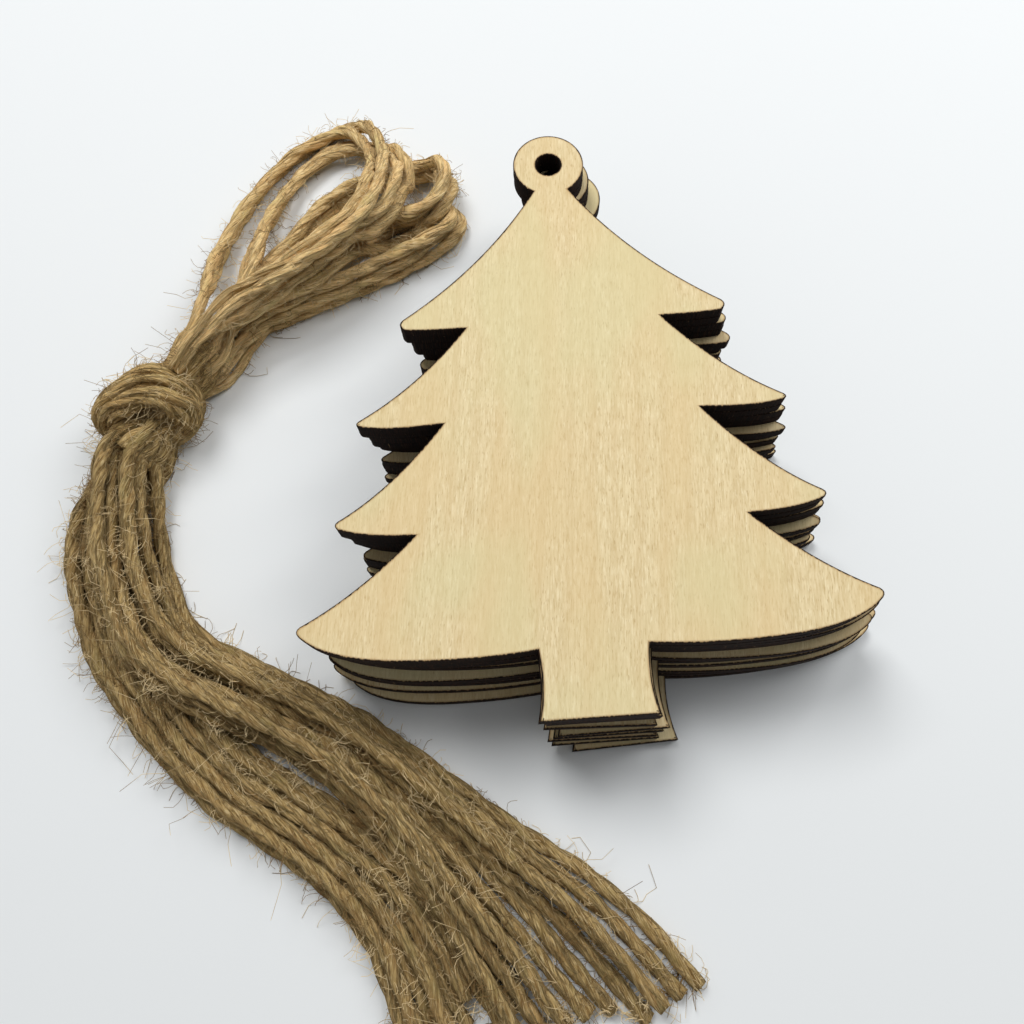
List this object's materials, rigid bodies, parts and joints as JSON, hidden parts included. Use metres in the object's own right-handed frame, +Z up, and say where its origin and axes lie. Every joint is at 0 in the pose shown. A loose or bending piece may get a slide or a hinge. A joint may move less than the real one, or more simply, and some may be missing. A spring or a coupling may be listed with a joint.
{
  "type": "wooden tag",
  "caption": "Stack of tree-shaped laser-cut plywood gift tags with hanging holes, and a knotted bundle of folded jute strings that hang them.",
  "frame": {"origin": "on the underside of the bottom tag, under the middle of the top tag's height and width", "axes": "+Z up out of the stack, +Y from the trunks to the hanging rings, +X to the right as the tags are read"},
  "size_m": [0.1262, 0.1591, 0.02],
  "materials": {
    "plywood": "raw pale plywood with charred laser-cut edges",
    "jute": "hairy natural jute, two plies twisted together"
  },
  "bodies": {
    "tag_01": {"tag_01": "plywood"},
    "tag_02": {"tag_02": "plywood"},
    "tag_03": {"tag_03": "plywood"},
    "tag_04": {"tag_04": "plywood"},
    "tag_05": {"tag_05": "plywood"},
    "tag_06": {"tag_06": "plywood"},
    "tag_07": {"tag_07": "plywood"},
    "tag_08": {"tag_08": "plywood"},
    "tag_09": {"tag_09": "plywood"},
    "tag_10": {"tag_10": "plywood"},
    "strings": {"string_knot": "jute", "string_01_loop": "jute", "string_02_loop": "jute", "string_03_loop": "jute", "string_04_loop": "jute", "string_05_loop": "jute", "string_06_loop": "jute", "string_07_loop": "jute", "string_08_loop": "jute", "string_09_loop": "jute", "string_10_loop": "jute", "string_01_tail_a": "jute", "string_01_tail_b": "jute", "string_02_tail_a": "jute", "string_02_tail_b": "jute", "string_03_tail_a": "jute", "string_03_tail_b": "jute", "string_04_tail_a": "jute", "string_04_tail_b": "jute", "string_05_tail_a": "jute", "string_05_tail_b": "jute", "string_06_tail_a": "jute", "string_06_tail_b": "jute", "string_07_tail_a": "jute", "string_07_tail_b": "jute", "string_08_tail_a": "jute", "string_08_tail_b": "jute", "string_09_tail_a": "jute", "string_09_tail_b": "jute", "string_10_tail_a": "jute", "string_10_tail_b": "jute"}
  },
  "joints": [
    {"name": "tag_02_lift", "type": "slide", "parent": "tag_01", "child": "tag_02", "axis": [0, 0, 1], "range_m": [0, 0.02]},
    {"name": "tag_03_lift", "type": "slide", "parent": "tag_02", "child": "tag_03", "axis": [0, 0, 1], "range_m": [0, 0.02]},
    {"name": "tag_04_lift", "type": "slide", "parent": "tag_03", "child": "tag_04", "axis": [0, 0, 1], "range_m": [0, 0.02]},
    {"name": "tag_05_lift", "type": "slide", "parent": "tag_04", "child": "tag_05", "axis": [0, 0, 1], "range_m": [0, 0.02]},
    {"name": "tag_06_lift", "type": "slide", "parent": "tag_05", "child": "tag_06", "axis": [0, 0, 1], "range_m": [0, 0.02]},
    {"name": "tag_07_lift", "type": "slide", "parent": "tag_06", "child": "tag_07", "axis": [0, 0, 1], "range_m": [0, 0.02]},
    {"name": "tag_08_lift", "type": "slide", "parent": "tag_07", "child": "tag_08", "axis": [0, 0, 1], "range_m": [0, 0.02]},
    {"name": "tag_09_lift", "type": "slide", "parent": "tag_08", "child": "tag_09", "axis": [0, 0, 1], "range_m": [0, 0.02]},
    {"name": "tag_10_lift", "type": "slide", "parent": "tag_09", "child": "tag_10", "axis": [0, 0, 1], "range_m": [0, 0.02]},
    {"name": "strings_lift", "type": "slide", "parent": "tag_01", "child": "strings", "axis": [0, 0, 1], "range_m": [0, 0.04]}
  ]
}
